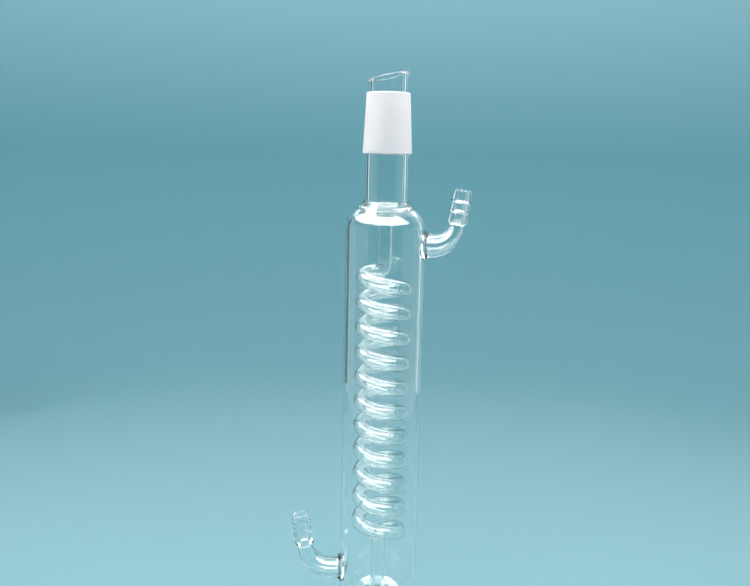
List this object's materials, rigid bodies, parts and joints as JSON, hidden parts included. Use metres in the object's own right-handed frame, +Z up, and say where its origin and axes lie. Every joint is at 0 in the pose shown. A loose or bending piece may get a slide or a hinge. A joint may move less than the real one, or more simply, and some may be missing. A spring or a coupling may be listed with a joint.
{
  "type": "graham condenser",
  "caption": "Upright glass condenser: a coiled inner tube inside a water jacket, with two barbed hose arms, a ground cone with a sloping drip tip above and a ground socket below.",
  "frame": {"origin": "centre of the socket's rim, on the axis", "axes": "+Z up the axis from the socket to the cone, +X toward the upper hose arm, -X toward the lower one"},
  "size_m": [0.0874, 0.04, 0.336],
  "materials": {
    "borosilicate_glass": "clear, fire-polished; ground matt on the cone and inside the socket"
  },
  "bodies": {
    "root": {"condenser_glass": "borosilicate_glass"}
  },
  "joints": []
}
